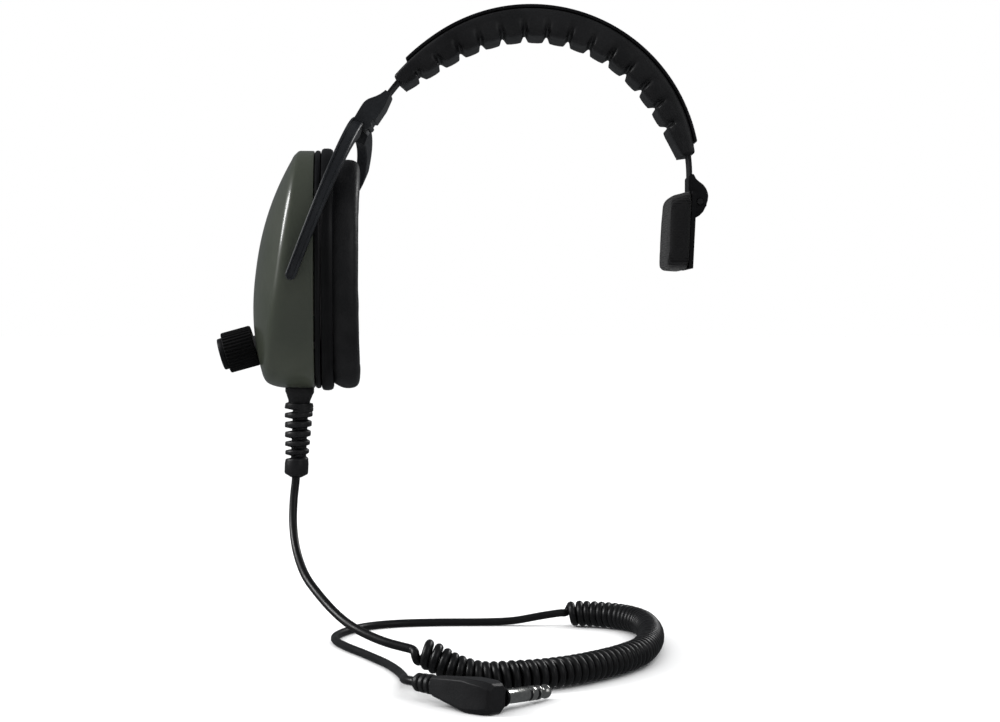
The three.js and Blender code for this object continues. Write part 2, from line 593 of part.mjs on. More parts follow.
// Right-angle stereo jack: along X to the head, then the shank along Y.
function plugParts() {
  const boot = [[0, 0], [3.2, 0], [3.6, 2], [4.2, 11], [0, 11]];
  const bodySide = [[11.3, -4.2], [34, -7.2], [44, -7.2], [49, -4], [49, 5], [45, 7], [34, 7], [11.3, 4.2]];
  const bodyShape = new THREE.Shape(bodySide.map(([px, py]) => new THREE.Vector2(px, py)));
  const moulded = new THREE.ExtrudeGeometry(bodyShape, { depth: 14.4, bevelEnabled: false });
  moulded.translate(0, 0, -7.2);
  const corners = moulded.attributes.position;
  for (let i = 0; i < corners.count; i += 1) {
    const taper = THREE.MathUtils.mapLinear(Math.min(corners.getX(i), 34), 11.3, 34, 0.56, 1);
    corners.setZ(i, corners.getZ(i) * taper);
  }
  const base = 7.3;
  const collar = ring('y', JACK_RADIUS + GAP, 4.9, base, base + 1.6);
  const shift = (profile, start) => profile.map(([r, s]) => [r, s + start]);
  const band = (length) => [[0.8, 0], [JACK_RADIUS, 0], [JACK_RADIUS, length], [0.8, length], [0.8, 0]];
  const tip = [[0, 0], [JACK_RADIUS, 0], [JACK_RADIUS, 1.6], [2, 3], [2.1, 4], [3.1, 5.6], [2.6, 7.4],
    [1, 9.2], [0, 9.2]];
  const group = new THREE.Group();
  group.position.set(...PLUG_START);
  group.rotation.set(radians(PLUG_ROLL), 0, radians(PLUG_HEADING), 'ZYX');
  const shank = [
    ['plug_sleeve', band(15.9), base, 'nickel'],
    ['plug_insulator_1', band(1), base + 16.2, 'black'],
    ['plug_ring', band(3.6), base + 17.5, 'nickel'],
    ['plug_insulator_2', band(1), base + 21.4, 'black'],
    ['plug_tip', tip, base + 22.7, 'nickel'],
  ].map(([name, profile, start, finish]) => piece(name, turned('y', shift(profile, start), 16), finish));
  const onAxis = new THREE.Group();
  onAxis.position.x = SHANK_PLACE;
  onAxis.add(piece('plug_collar', collar, 'nickel'), ...shank);
  group.add(piece('plug_boot', turned('x', boot, 16), 'rubber'));
  group.add(piece('plug_body', welded(moulded), 'rubber'), onAxis);
  return group;
}

// ---- assembly ------------------------------------------------------------------------------------

const headphones = new THREE.Group();
const earSide = new THREE.Group();
earSide.rotation.z = radians(EAR_YAW);
earSide.add(...earCup());
const yokeSide = new THREE.Group();
yokeSide.position.y = YOKE_SHIFT;
yokeSide.rotation.z = radians(YOKE_YAW);
yokeSide.add(yokeFork());
const templeSide = [...templeSlider(), templePad()];
headphones.add(earSide, yokeSide, ...headbandParts(), ...templeSide, ...cordParts(), plugParts());

export default headphones;
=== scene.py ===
"""Single-ear radio headphones: the looks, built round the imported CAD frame."""
import math

import bmesh
import bpy
from mathutils import Matrix, Vector, noise


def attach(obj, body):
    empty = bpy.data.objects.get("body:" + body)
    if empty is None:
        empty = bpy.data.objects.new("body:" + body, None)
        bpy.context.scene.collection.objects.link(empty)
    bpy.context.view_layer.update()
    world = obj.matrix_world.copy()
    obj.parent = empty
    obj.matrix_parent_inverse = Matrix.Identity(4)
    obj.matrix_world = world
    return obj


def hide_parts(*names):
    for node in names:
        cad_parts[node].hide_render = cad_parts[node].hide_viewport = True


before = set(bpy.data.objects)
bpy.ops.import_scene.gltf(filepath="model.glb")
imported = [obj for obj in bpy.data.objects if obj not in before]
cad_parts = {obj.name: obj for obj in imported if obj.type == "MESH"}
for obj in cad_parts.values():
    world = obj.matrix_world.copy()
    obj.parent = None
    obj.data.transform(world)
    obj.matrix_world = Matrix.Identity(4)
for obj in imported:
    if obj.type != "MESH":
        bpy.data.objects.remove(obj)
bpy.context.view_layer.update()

MM = 0.001

# ---- places and sizes, in millimetres as in the CAD ------------------------------------------------

EAR_YAW = math.radians(4.5)
CUP_HALF_Y, CUP_HALF_Z, CUP_SQUARENESS = 45.0, 56.5, 2.4
SHELL_EDGE_X, RIDGE_X, DOME_LEAN, DOME_HEIGHT, DOME_POWER = -20.0, -35.4, 0.13, 12.5, 2.2
YOKE_SHIFT, YOKE_YAW, YOKE_TILT = -1.2, math.radians(1), math.radians(21.2)
PIVOT = Vector((-26.8, 0, -2.9))
KNOB_SEAT, KNOB_TILT = Vector((-49, 0, -36.1)), math.radians(-15.5)
GLAND, RELIEF_LEAN = Vector((-27.4, 0, -56.5)), math.radians(2.5)
TEMPLE_PIVOT, TEMPLE_TILT = Vector((163.3, 0, 32)), math.radians(2.7)
PLUG_START = Vector((32.6, -98.1, -179))
PLUG_HEADING, PLUG_ROLL = math.radians(-40), math.radians(-6)

EAR_SIDE = Matrix.Rotation(EAR_YAW, 4, "Z")
KNOB_PLACE = EAR_SIDE @ Matrix.Translation(KNOB_SEAT) @ Matrix.Rotation(KNOB_TILT, 4, "Y")
RELIEF_PLACE = EAR_SIDE @ Matrix.Translation(GLAND) @ Matrix.Rotation(RELIEF_LEAN, 4, "Y")
HUB_PLACE = Matrix.Translation((0, YOKE_SHIFT, 0)) @ Matrix.Rotation(YOKE_YAW, 4, "Z")
YOKE_PLACE = HUB_PLACE @ Matrix.Translation(PIVOT) @ Matrix.Rotation(YOKE_TILT, 4, "Y")
TEMPLE_PLACE = Matrix.Translation(TEMPLE_PIVOT)
PAD_PLACE = TEMPLE_PLACE @ Matrix.Rotation(TEMPLE_TILT, 4, "Y")
PLUG_TURN = Matrix.Rotation(PLUG_HEADING, 4, "Z") @ Matrix.Rotation(PLUG_ROLL, 4, "X")
PLUG_PLACE = Matrix.Translation(PLUG_START) @ PLUG_TURN
JACK_PLACE = (PLUG_PLACE @ Matrix.Translation((42, 0, -1.8)) @ Matrix.Rotation(math.pi / 2, 4, "Z")
              @ Matrix.Rotation(math.radians(-2), 4, "Y"))

# ---- camera ----------------------------------------------------------------------------------------


def make_camera():
    data = bpy.data.cameras.new("camera")
    data.sensor_width = 36
    data.lens = 67.5
    data.clip_start = 0.01
    camera = bpy.data.objects.new("camera", data)
    camera.location = (0.0686, -0.9, -0.0206)
    camera.rotation_euler = (math.radians(90 - 1.47), 0, 0)
    bpy.context.scene.collection.objects.link(camera)
    bpy.context.scene.camera = camera


make_camera()

# ---- materials -------------------------------------------------------------------------------------


class Finish:
    """A Principled material whose colour, roughness and bump come from textures in object space."""

    def __init__(self, name, roughness=0.5, metallic=0.0, **sockets):
        self.material = bpy.data.materials.new(name)
        self.material.use_nodes = True
        self.tree = self.material.node_tree
        self.shader = self.tree.nodes["Principled BSDF"]
        self.shader.inputs["Roughness"].default_value = roughness
        self.shader.inputs["Metallic"].default_value = metallic
        for socket, value in sockets.items():
            self.shader.inputs[socket.replace("_", " ")].default_value = value
        self.where = self.tree.nodes.new("ShaderNodeTexCoord").outputs["Object"]
        self.height = None

    def add(self, kind, links=(), **values):
        made = self.tree.nodes.new(kind)
        for key, value in values.items():
            setattr(made, key, value)
        for socket, value in dict(links).items():
            if hasattr(value, "is_linked"):
                self.tree.links.new(value, made.inputs[socket])
            else:
                made.inputs[socket].default_value = value
        return made

    def stretched(self, scale):
        return self.add("ShaderNodeMapping", {"Vector": self.where, "Scale": scale}).outputs["Vector"]

    def noise(self, size, detail=3.0, vector=None):
        """Noise whose blobs are about this many metres across."""
        made = self.add("ShaderNodeTexNoise", {"Vector": vector or self.where, "Scale": 1 / size,
                                               "Detail": detail})
        return made.outputs["Fac"]

    def cells(self, size, feature="F1", vector=None):
        made = self.add("ShaderNodeTexVoronoi", {"Vector": vector or self.where, "Scale": 1 / size},
                        feature=feature)
        return made.outputs["Distance"]

    def blend_colours(self, factor, dark, light, low=0.3, high=0.7):
        ramp = self.add("ShaderNodeValToRGB", {"Fac": factor})
        ramp.color_ramp.elements[0].position = low
        ramp.color_ramp.elements[1].position = high
        ramp.color_ramp.elements[0].color = (*dark, 1)
        ramp.color_ramp.elements[1].color = (*light, 1)
        self.tree.links.new(ramp.outputs["Color"], self.shader.inputs["Base Color"])
        return ramp.outputs["Color"]

    def vary_roughness(self, factor, low, high):
        spread = self.add("ShaderNodeMapRange", {"Value": factor, "From Min": 0.3, "From Max": 0.7,
                                                 "To Min": low, "To Max": high})
        self.tree.links.new(spread.outputs["Result"], self.shader.inputs["Roughness"])

    def bump(self, factor, depth, strength=1.0):
        """Adds a bump of this depth in metres on top of those already there."""
        links = {"Height": factor, "Distance": depth, "Strength": strength}
        if self.height:
            links["Normal"] = self.height
        self.height = self.add("ShaderNodeBump", links).outputs["Normal"]
        self.tree.links.new(self.height, self.shader.inputs["Normal"])


def moulded(name, dark, light, roughness, grain=0.0007, depth=0.00006, **sockets):
    """Moulded plastic or rubber: a fine cast grain over slow colour and gloss changes."""
    made = Finish(name, **sockets)
    made.blend_colours(made.noise(0.02, 4), dark, light)
    made.vary_roughness(made.noise(0.008, 5), roughness - 0.06, roughness + 0.08)
    made.bump(made.noise(grain, 3), depth)
    return made.material


def olive_gloss():
    made = Finish("olive_gloss", Coat_Weight=0.6, Coat_Roughness=0.12, Specular_IOR_Level=0.5)
    made.blend_colours(made.noise(0.03, 3), (0.032, 0.038, 0.027), (0.039, 0.044, 0.032))
    made.vary_roughness(made.noise(0.012, 5), 0.3, 0.38)
    made.bump(made.noise(0.0035, 1), 0.00012, 0.35)
    made.bump(made.noise(0.0006, 2), 0.00002, 0.5)
    return made.material


def vinyl():
    made = Finish("cushion_vinyl", Specular_IOR_Level=0.4)
    made.blend_colours(made.noise(0.012, 4), (0.004, 0.004, 0.005), (0.008, 0.008, 0.009))
    made.vary_roughness(made.noise(0.01, 4), 0.42, 0.55)
    made.bump(made.cells(0.0011, "SMOOTH_F1"), 0.00018, 0.5)
    made.bump(made.noise(0.006, 3), 0.0006, 0.25)
    return made.material


def weave():
    """Black plain-woven tape over the temple pad."""
    made = Finish("temple_weave", roughness=0.9, Specular_IOR_Level=0.2, Sheen_Weight=0.08)
    across = made.add("ShaderNodeTexWave", {"Vector": made.where, "Scale": 260.0, "Distortion": 0.6},
                      bands_direction="Y")
    along = made.add("ShaderNodeTexWave", {"Vector": made.where, "Scale": 260.0, "Distortion": 0.6},
                     bands_direction="Z")
    threads = made.add("ShaderNodeMath", {0: across.outputs["Fac"], 1: along.outputs["Fac"]},
                       operation="MAXIMUM")
    made.blend_colours(threads.outputs["Value"], (0.002, 0.002, 0.0025), (0.006, 0.006, 0.0065))
    made.bump(threads.outputs["Value"], 0.0003, 0.6)
    made.bump(made.noise(0.0015, 4), 0.0002, 0.4)
    return made.material


def metal(name, dark, light, roughness, brushed=(1, 1, 1), depth=0.00002, metallic=1.0):
    made = Finish(name, metallic=metallic)
    lines = made.noise(0.0012, 3, made.stretched(brushed))
    made.blend_colours(lines, dark, light)
    made.vary_roughness(made.noise(0.004, 4), roughness - 0.05, roughness + 0.1)
    made.bump(lines, depth, 0.5)
    return made.material


def foam():
    made = Finish("open_foam", roughness=0.95)
    pores = made.cells(0.0012)
    made.blend_colours(pores, (0.004, 0.004, 0.004), (0.03, 0.03, 0.03), 0.1, 0.6)
    made.bump(pores, 0.0006, 0.8)
    return made.material


OLIVE = olive_gloss()
BLACK = moulded("moulded_black", (0.002, 0.002, 0.0025), (0.005, 0.005, 0.006), 0.42, Specular_IOR_Level=0.25)
SATIN = moulded("yoke_black", (0.009, 0.0098, 0.012), (0.016, 0.0175, 0.02), 0.4, depth=0.00002,
                Specular_IOR_Level=0.4)
MATT = moulded("rib_black", (0.002, 0.002, 0.0022), (0.004, 0.004, 0.0045), 0.6, grain=0.0005,
               Specular_IOR_Level=0.2)
RUBBER = moulded("pad_rubber", (0.005, 0.005, 0.0057), (0.01, 0.01, 0.011), 0.42, grain=0.0009, depth=0.0001,
                 Specular_IOR_Level=0.35)
CORD = moulded("cord_jacket", (0.003, 0.003, 0.0035), (0.006, 0.006, 0.0065), 0.36, grain=0.0006,
               Specular_IOR_Level=0.45)
VINYL = vinyl()
WEAVE = weave()
FOAM = foam()
STEEL = metal("plain_steel", (0.35, 0.35, 0.36), (0.5, 0.5, 0.5), 0.35)
NICKEL = metal("nickel_plate", (0.5, 0.5, 0.48), (0.62, 0.61, 0.59), 0.2, brushed=(1, 0.15, 1),
               depth=0.000002)
BRASS = metal("brass_nut", (0.45, 0.33, 0.13), (0.6, 0.46, 0.2), 0.3)
BAND_STEEL = metal("band_steel", (0.015, 0.015, 0.016), (0.03, 0.03, 0.032), 0.45, brushed=(1, 0.08, 1),
                   metallic=0.6)
BOARD = moulded("board_green", (0.012, 0.05, 0.02), (0.02, 0.09, 0.035), 0.5)
PAPER = moulded("cone_paper", (0.03, 0.028, 0.024), (0.06, 0.055, 0.048), 0.85, grain=0.0015, depth=0.0002)

# ---- mesh helpers ----------------------------------------------------------------------------------


def piece(name, points, faces, material, body, slot=None, replaces=(), place=EAR_SIDE, sharp=35):
    """A mesh piece from points in millimetres, riding on a body."""
    mesh = bpy.data.meshes.new(name)
    mesh.from_pydata([(place @ Vector(p)) * MM for p in points], [], faces)
    shape = bmesh.new()
    shape.from_mesh(mesh)
    bmesh.ops.remove_doubles(shape, verts=shape.verts, dist=1e-6)
    bmesh.ops.recalc_face_normals(shape, faces=shape.faces)
    shape.to_mesh(mesh)
    shape.free()
    mesh.polygons.foreach_set("use_smooth", [True] * len(mesh.polygons))
    mesh.set_sharp_from_angle(angle=math.radians(sharp))
    mesh.materials.append(material)
    made = bpy.data.objects.new(name, mesh)
    bpy.context.scene.collection.objects.link(made)
    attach(made, body)
    if replaces:
        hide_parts(*replaces)
    return made


def rounded(made, width, segments=3, angle=30):
    """Rounds the sharp edges of a piece by so many millimetres."""
    bevel = made.modifiers.new("rounding", "BEVEL")
    bevel.width = width * MM
    bevel.segments = segments
    bevel.limit_method = "ANGLE"
    bevel.angle_limit = math.radians(angle)
    bevel.harden_normals = True
    return made


def carved(made, low, high, place):
    """Takes a block out of a piece: its corners are in millimetres and are moved to their place."""
    shape = bmesh.new()
    bmesh.ops.create_cube(shape, size=1)
    for vertex in shape.verts:
        vertex.co = (place @ Vector(b if side > 0 else a for a, b, side in zip(low, high, vertex.co))) * MM
    bmesh.ops.recalc_face_normals(shape, faces=shape.faces)
    mesh = bpy.data.meshes.new("block")
    shape.to_mesh(mesh)
    shape.free()
    block = bpy.data.objects.new("block", mesh)
    bpy.context.scene.collection.objects.link(block)
    cut = made.modifiers.new("cut", "BOOLEAN")
    cut.operation, cut.solver, cut.object = "DIFFERENCE", "EXACT", block
    graph = bpy.context.evaluated_depsgraph_get()
    old, made.data = made.data, bpy.data.meshes.new_from_object(made.evaluated_get(graph))
    made.modifiers.clear()
    bpy.data.objects.remove(block)
    bpy.data.meshes.remove(mesh)
    bpy.data.meshes.remove(old)


def puffed(made, cap, free, cell=0.0):
    """Cloth pass: the skin under air pressure, moved at most the cap in millimetres where it is free."""
    scene = bpy.context.scene
    skin = made.copy()
    skin.data = made.data.copy()
    scene.collection.objects.link(skin)
    graph = bpy.context.evaluated_depsgraph_get()
    if cell:
        remesh = skin.modifiers.new("even", "REMESH")
        remesh.mode, remesh.voxel_size, remesh.use_smooth_shade = "VOXEL", cell * MM, True
        graph.update()
        skin.data = bpy.data.meshes.new_from_object(skin.evaluated_get(graph))
        skin.modifiers.clear()
    start = [vertex.co.copy() for vertex in skin.data.vertices]
    cloth = skin.modifiers.new("pressure", "CLOTH")
    cloth.settings.use_pressure = True
    cloth.settings.uniform_pressure_force = 4
    cloth.settings.effector_weights.gravity = 0
    cloth.point_cache.frame_start, cloth.point_cache.frame_end = 1, 20
    for at in range(1, 21):
        scene.frame_set(at)
    graph = bpy.context.evaluated_depsgraph_get()
    moved = [vertex.co.copy() for vertex in skin.evaluated_get(graph).data.vertices]
    skin.modifiers.clear()
    scene.frame_set(1)
    for vertex, before, after in zip(skin.data.vertices, start, moved):
        step = after - before
        reach = min(step.length, cap * MM) * free(before / MM)
        vertex.co = before + (step.normalized() * reach if step.length > 0 else step)
    old, made.data = made.data, skin.data
    made.data.polygons.foreach_set("use_smooth", [True] * len(made.data.polygons))
    bpy.data.objects.remove(skin)
    bpy.data.meshes.remove(old)


def lofted(rings, loop=False, closed=True):
    """Quads between rings of points, with the ends filled in unless the rings themselves go round."""
    count = len(rings[0])
    points = [p for ring in rings for p in ring]
    faces = []
    for i in range(len(rings) if loop else len(rings) - 1):
        j = (i + 1) % len(rings)
        for k in range(count):
            m = (k + 1) % count
            faces.append((i * count + k, i * count + m, j * count + m, j * count + k))
    if closed and not loop:
        faces.append(tuple(range(count)))
        faces.append(tuple(range((len(rings) - 1) * count, len(rings) * count)))
    return points, faces


def turned(profile, sides=64, loop=False):
    """A turned shape about X from [radius, station] pairs."""
    rings = []
    for radius, station in profile:
        radius = max(radius, 0.02)
        rings.append([(station, radius * math.sin(2 * math.pi * k / sides),
                       radius * math.cos(2 * math.pi * k / sides)) for k in range(sides)])
    return lofted(rings, loop)


def oval_radius(angle, half_y=CUP_HALF_Y, half_z=CUP_HALF_Z):
    y, z = abs(math.sin(angle)) / half_y, abs(math.cos(angle)) / half_z
    return (y ** CUP_SQUARENESS + z ** CUP_SQUARENESS) ** (-1 / CUP_SQUARENESS)


def oval_lofted(profile_at, sides=144, loop=False, lean=0.0):
    """The cup's kind of shape: [fraction of the oval, X] pairs for each angle round the oval."""
    columns = []
    for k in range(sides):
        angle = 2 * math.pi * k / sides
        column = []
        for fraction, x in profile_at(angle):
            share = min(max((SHELL_EDGE_X - x) / (SHELL_EDGE_X - RIDGE_X), 0), 1)
            reach = max(fraction, 0.002) * oval_radius(angle)
            z = reach * math.cos(angle)
            column.append((x + lean * z * share, reach * math.sin(angle), z))
        columns.append(column)
    return lofted(list(zip(*columns)), loop)


def oval_turned(profile, sides=144, loop=False):
    return oval_lofted(lambda angle: profile, sides, loop)


def across(outline, width):
    """An outline in X and Z, drawn out across Y about the middle plane."""
    return lofted([[(x, y, z) for x, z in outline] for y in (-width / 2, width / 2)])


# ---- cord ------------------------------------------------------------------------------------------

CORD_WIDTH = 0.004
COIL_TURNS = 66
HELIX_RADIUS = 0.00475
POINTS_PER_TURN = 12
CORD_LIE, COIL_LIE = -0.185, -0.180
LEAD = [(-0.0293, -0.0023, -0.0999), (-0.0302, -0.0034, -0.1095), (-0.0302, -0.007, -0.1205),
        (-0.0286, -0.013, -0.1298), (-0.0257, -0.021, -0.1372), (-0.0214, -0.0305, -0.1437),
        (-0.0151, -0.04, -0.1498), (-0.0077, -0.049, -0.1559), (-0.0005, -0.057, -0.1604),
        (0.0064, -0.063, -0.1634), (0.014, -0.068, -0.1659), (0.0213, -0.072, -0.1676),
        (0.028, -0.075, -0.1686)]
COIL = [(0.029, -0.0754, -0.1689), (0.038, -0.078, -0.1715), (0.049, -0.08, -0.177),
        (0.06, -0.0805, COIL_LIE), (0.075, -0.079, COIL_LIE), (0.088, -0.0745, COIL_LIE),
        (0.101, -0.066, COIL_LIE), (0.113, -0.054, COIL_LIE), (0.124, -0.04, COIL_LIE),
        (0.134, -0.022, COIL_LIE), (0.14, 0.0, COIL_LIE), (0.143, 0.022, COIL_LIE),
        (0.1435, 0.044, COIL_LIE), (0.141, 0.064, COIL_LIE), (0.133, 0.08, COIL_LIE),
        (0.119, 0.0895, COIL_LIE), (0.101, 0.093, COIL_LIE)]
TAIL = [(0.1002, 0.0931, COIL_LIE), (0.09, 0.094, -0.1818), (0.076, 0.0943, -0.1843),
        (0.06, 0.094, CORD_LIE), (0.036, 0.093, CORD_LIE), (0.014, 0.089, CORD_LIE),
        (0.0, 0.081, CORD_LIE), (-0.01, 0.067, CORD_LIE), (-0.015, 0.05, CORD_LIE),
        (-0.0135, 0.036, CORD_LIE), (-0.007, 0.02, CORD_LIE), (0.002, 0.003, CORD_LIE),
        (0.0095, -0.012, CORD_LIE), (0.016, -0.026, CORD_LIE), (0.0215, -0.042, CORD_LIE),
        (0.025, -0.058, -0.1846), (0.0262, -0.071, -0.183), (0.0266, -0.082, -0.1809),
        (0.0276, -0.091, -0.1795), (0.0296, -0.0954, -0.1791), (0.0322, -0.0978, -0.179)]


def through(points, per_span=24):
    """A centripetal Catmull-Rom curve through the points, close together."""
    points = [Vector(p) for p in points]
    points = [2 * points[0] - points[1], *points, 2 * points[-1] - points[-2]]
    found = []
    for a, b, c, d in zip(points, points[1:], points[2:], points[3:]):
        before, middle, after = ((q - p).length ** 0.5 for p, q in ((a, b), (b, c), (c, d)))
        leave = ((b - a) / before - (c - a) / (before + middle) + (c - b) / middle) * middle
        arrive = ((c - b) / middle - (d - b) / (middle + after) + (d - c) / after) * middle
        for i in range(per_span):
            t = i / per_span
            found.append(b * (2 * t**3 - 3 * t**2 + 1) + leave * (t**3 - 2 * t**2 + t)
                         + c * (3 * t**2 - 2 * t**3) + arrive * (t**3 - t**2))
    return [*found, points[-2]]


def evenly(points, count):
    """The same line as count + 1 points at even distances."""
    marks = [0.0]
    for a, b in zip(points, points[1:]):
        marks.append(marks[-1] + (b - a).length)
    found, i = [], 0
    for k in range(count + 1):
        goal = marks[-1] * k / count
        while i < len(points) - 2 and marks[i + 1] < goal:
            i += 1
        found.append(points[i].lerp(points[i + 1], (goal - marks[i]) / (marks[i + 1] - marks[i])))
    return found


def helix(line, turns, radius):
    """Turns of cord round a line, easing off it and back onto it at the ends."""
    ease, start, fine = 0.008, 0.0015, 4000
    middle = evenly(line, fine)
    length = sum((b - a).length for a, b in zip(middle, middle[1:]))
    pitch = (length - ease - start) / turns
    side = (middle[1] - middle[0]).cross(Vector((0, 0, 1))).normalized()
    frames = []
    for k, point in enumerate(middle):
        ahead = (middle[min(k + 1, fine)] - middle[max(k - 1, 0)]).normalized()
        side = (side - ahead * side.dot(ahead)).normalized()
        frames.append((point, side.copy(), ahead.cross(side)))

    def turned_by(along):
        if along > length / 2:
            return turns - turned_by(length - along)
        if along > ease:
            return (ease - start) / (2 * pitch) + (along - ease) / pitch
        return max(along - start, 0) ** 2 / (2 * pitch * (ease - start))

    steady = round((length - 2 * ease) / pitch * POINTS_PER_TURN)
    marks = [ease * k / 14 for k in range(14)]
    marks += [ease + (length - 2 * ease) * k / steady for k in range(steady + 1)]
    marks += [length - ease * k / 14 for k in reversed(range(14))]
    found = []
    for along in marks:
        point, side, up = frames[min(round(along / length * fine), fine)]
        share = min(along, length - along, 0.0065) / 0.0065
        out = radius * share * share * (3 - 2 * share)
        turn = 2 * math.pi * turned_by(along)
        found.append(point + (side * math.cos(turn) + up * math.sin(turn)) * out)
    return found


def make_cord():
    lead = evenly(through([(-0.0292, -0.0023, -0.0965), *LEAD]), 30)
    tail = evenly(through([*TAIL, (0.0356, -0.1006, -0.179)]), 40)
    route = [*lead[:-1], *helix(through(COIL), COIL_TURNS, HELIX_RADIUS), *tail[1:]]
    data = bpy.data.curves.new("cord", "CURVE")
    data.dimensions = "3D"
    data.resolution_u = 3
    data.bevel_depth = CORD_WIDTH / 2
    data.bevel_resolution = 4
    data.use_fill_caps = True
    spline = data.splines.new("BEZIER")
    spline.bezier_points.add(len(route) - 1)
    for at, point in zip(spline.bezier_points, route):
        at.co = point
        at.handle_left_type = at.handle_right_type = "AUTO"
    made = bpy.data.objects.new("cord", data)
    bpy.context.scene.collection.objects.link(made)
    data.materials.append(CORD)
    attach(made, "ear_cup")
    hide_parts("cord_lead", "cord_coil", "cord_tail")
    length = sum((b - a).length for a, b in zip(route, route[1:]))
    return made, length


cord, cord_length = make_cord()
print("cord length", round(cord_length, 4))

# ---- ear cup ---------------------------------------------------------------------------------------


def dome_x(fraction, inset=0.0):
    return RIDGE_X + inset - DOME_HEIGHT * (1 - fraction ** DOME_POWER)


def shell_profile(angle):
    """Dome, ridge and side wall: the ridge is crisp at the top and softer towards the bottom."""
    low = (1 - math.cos(angle)) / 2
    start = 0.93 - 0.06 * low**2
    dome = [(f, dome_x(f)) for f in [i * start / 28 for i in range(29)]]
    first, control, last = dome[-1], (1.0, dome_x(0.975)), (1.0, RIDGE_X + 3.2 + 4.6 * low**2)
    ridge = []
    for i in range(1, 11):
        t = i / 10
        ridge.append(tuple((1 - t) ** 2 * a + 2 * t * (1 - t) * b + t * t * c
                           for a, b, c in zip(first, control, last)))
    wall = [(1.0, x) for x in (-27.0, -25.0, -23.0, -21.5)] + [(0.998, -20.2), (0.993, SHELL_EDGE_X)]
    inner = [(0.955, SHELL_EDGE_X), (0.955, RIDGE_X + 4.5)]
    inner += [(f * 0.955, dome_x(f, 2.5)) for f in (0.92, 0.8, 0.6, 0.4, 0.2, 0.0)]
    return dome + ridge + wall + inner


def make_shell():
    piece("shell", *oval_lofted(shell_profile, 192, lean=DOME_LEAN), OLIVE, "ear_cup", "shell_olive",
          ["cup_shell"])


def make_rims():
    """Flush rim ring against the shell, then the prouder seat ring that grips the cushion."""
    rim = [(0.9, -19.7), (0.985, -19.7), (0.998, -19.3), (1.003, -18.6), (1.003, -17.9), (0.997, -17.15),
           (0.985, -17.0), (0.9, -17.0)]
    seat = [(0.63, -16.7), (0.995, -16.7), (1.012, -16.3), (1.02, -15.4), (1.021, -13.6), (1.017, -12.2),
            (1.006, -11.3), (0.99, -11.0), (0.972, -11.1), (0.962, -11.6), (0.96, -14.8), (0.63, -14.8)]
    piece("rim", *oval_turned(rim, 160, loop=True), BLACK, "ear_cup", "plastic_black", ["rim_ring"])
    piece("seat_ring", *oval_turned(seat, 160, loop=True), BLACK, "ear_cup", "plastic_black",
          ["cushion_seat"])


def make_cushion():
    """Puffed vinyl ring that sags a little in its seat and rolls over to the ear hole."""
    section = [(0.62, -14.4), (0.93, -14.4), (0.946, -12.5), (0.948, -11.0), (0.958, -9.8), (0.965, -7.6),
               (0.966, -4.9), (0.96, -2.6), (0.942, -0.8), (0.905, 0.2), (0.85, 0.5), (0.78, 0.4),
               (0.71, -0.2), (0.655, -1.4), (0.615, -3.4), (0.592, -6.0), (0.588, -9.0), (0.6, -12.0)]
    made = piece("cushion", *oval_turned(section, 120, loop=True), VINYL, "ear_cup", "cushion_vinyl",
                 ["ear_cushion"], sharp=180)
    puffed(made, 1.1, lambda at: min(max((at.x + 11.5) / 5, 0), 1))
    for vertex in made.data.vertices:
        at = vertex.co / MM
        free = min(max((at.x + 12) / 4, 0), 1)
        ripple = noise.noise(at * 0.11) * 0.3 + noise.noise(at * 0.32) * 0.12
        vertex.co += vertex.normal * ripple * free * MM
        vertex.co.z -= 2.2 * free * MM
        vertex.co.x += 1.5 * (at.z / 55) ** 2 * free * MM
    smooth = made.modifiers.new("smooth", "SUBSURF")
    smooth.levels = smooth.render_levels = 1


def make_speaker_foam():
    crown = [(0, -14.6), (6, -14.65), (12, -14.75), (17, -15), (20, -15.4), (20.9, -16), (20.9, -16.8),
             (0, -16.9)]
    piece("speaker_foam_disc", *turned(crown), FOAM, "ear_cup", "foam_grey", ["speaker_foam"])


def make_knob():
    """Finely ribbed barrel and the smaller disc on its end."""
    ribs, steps = 36, 4
    rings = []
    for radius, station, depth in [(3.4, -2.6, 0), (7.6, -2.6, 0), (7.6, 0.4, 0), (9.2, 0.4, 0),
                                   (9.6, 0.1, 0.2),
                                   (9.8, -0.4, 0.55), (9.8, -13.2, 0.55), (9.7, -13.7, 0.3), (9.3, -14.0, 0),
                                   (3.4, -14.0, 0)]:
        ring = []
        for k in range(ribs * steps):
            angle = 2 * math.pi * k / (ribs * steps)
            groove = depth if k % steps in (0, 1) else 0
            ring.append((station, (radius - groove) * math.sin(angle), (radius - groove) * math.cos(angle)))
        rings.append(ring)
    piece("knob", *lofted(rings), MATT, "volume_control", "plastic_black", ["volume_knob"], KNOB_PLACE, 25)
    cap = [(0, -14.1), (7.3, -14.1), (7.6, -14.4), (7.6, -15.9), (7.3, -16.4), (6.4, -16.6), (5.8, -16.5),
           (5.4, -16.2), (0, -16.2)]
    piece("knob_disc", *turned(cap, 72), BLACK, "volume_control", "plastic_black", ["knob_cap"], KNOB_PLACE)


